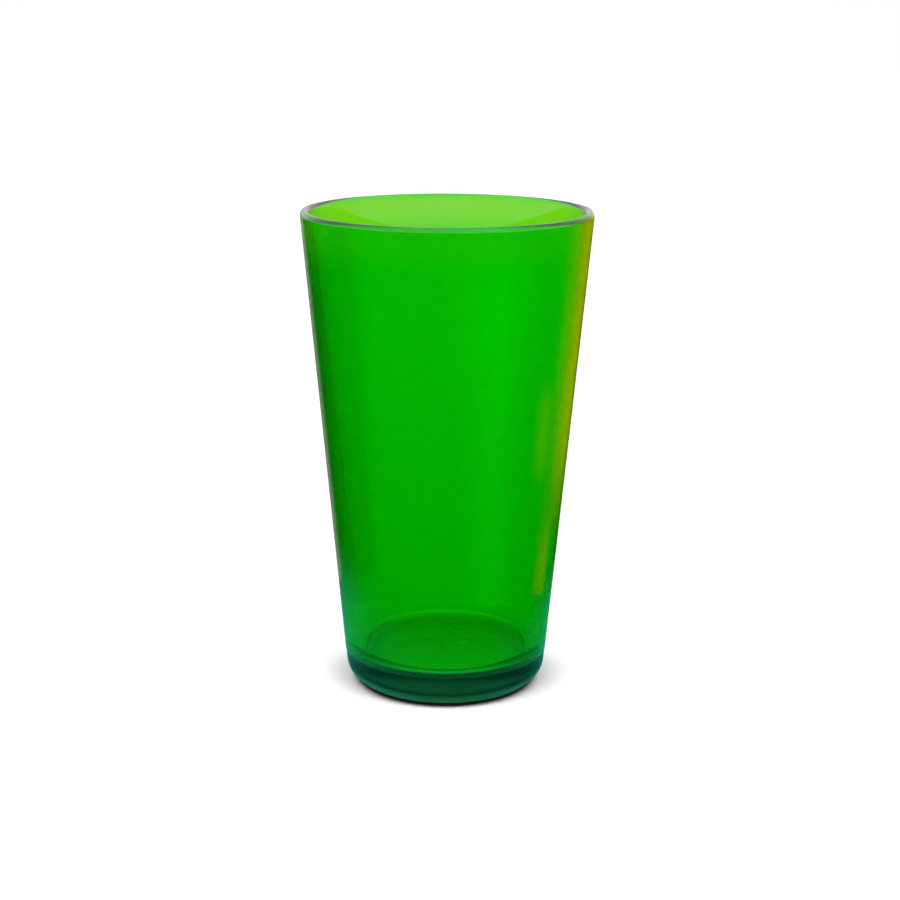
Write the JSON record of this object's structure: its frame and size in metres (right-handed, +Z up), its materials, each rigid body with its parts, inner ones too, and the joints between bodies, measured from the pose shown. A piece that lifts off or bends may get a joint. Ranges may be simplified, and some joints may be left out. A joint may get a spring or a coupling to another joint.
{
  "type": "soft drink glass",
  "caption": "Conical soft drink glass with a rounded lip, a heavy tinted base and a translucent green lacquer coat on the outside of its wall.",
  "frame": {"origin": "centre of the ring that the glass stands on, at the level of the table", "axes": "+Z up along the glass's axis, towards the mouth; X and Y are free, because the glass is round"},
  "size_m": [0.0892, 0.0892, 0.1492],
  "materials": {
    "tinted_glass": "pressed and fire-polished, smooth and clear, with a faint teal tint that shows in the thick base",
    "green_lacquer": "glossy translucent green lacquer, sprayed on and cured"
  },
  "bodies": {
    "root": {"glass_body": "tinted_glass", "green_coat": "green_lacquer"}
  },
  "joints": []
}
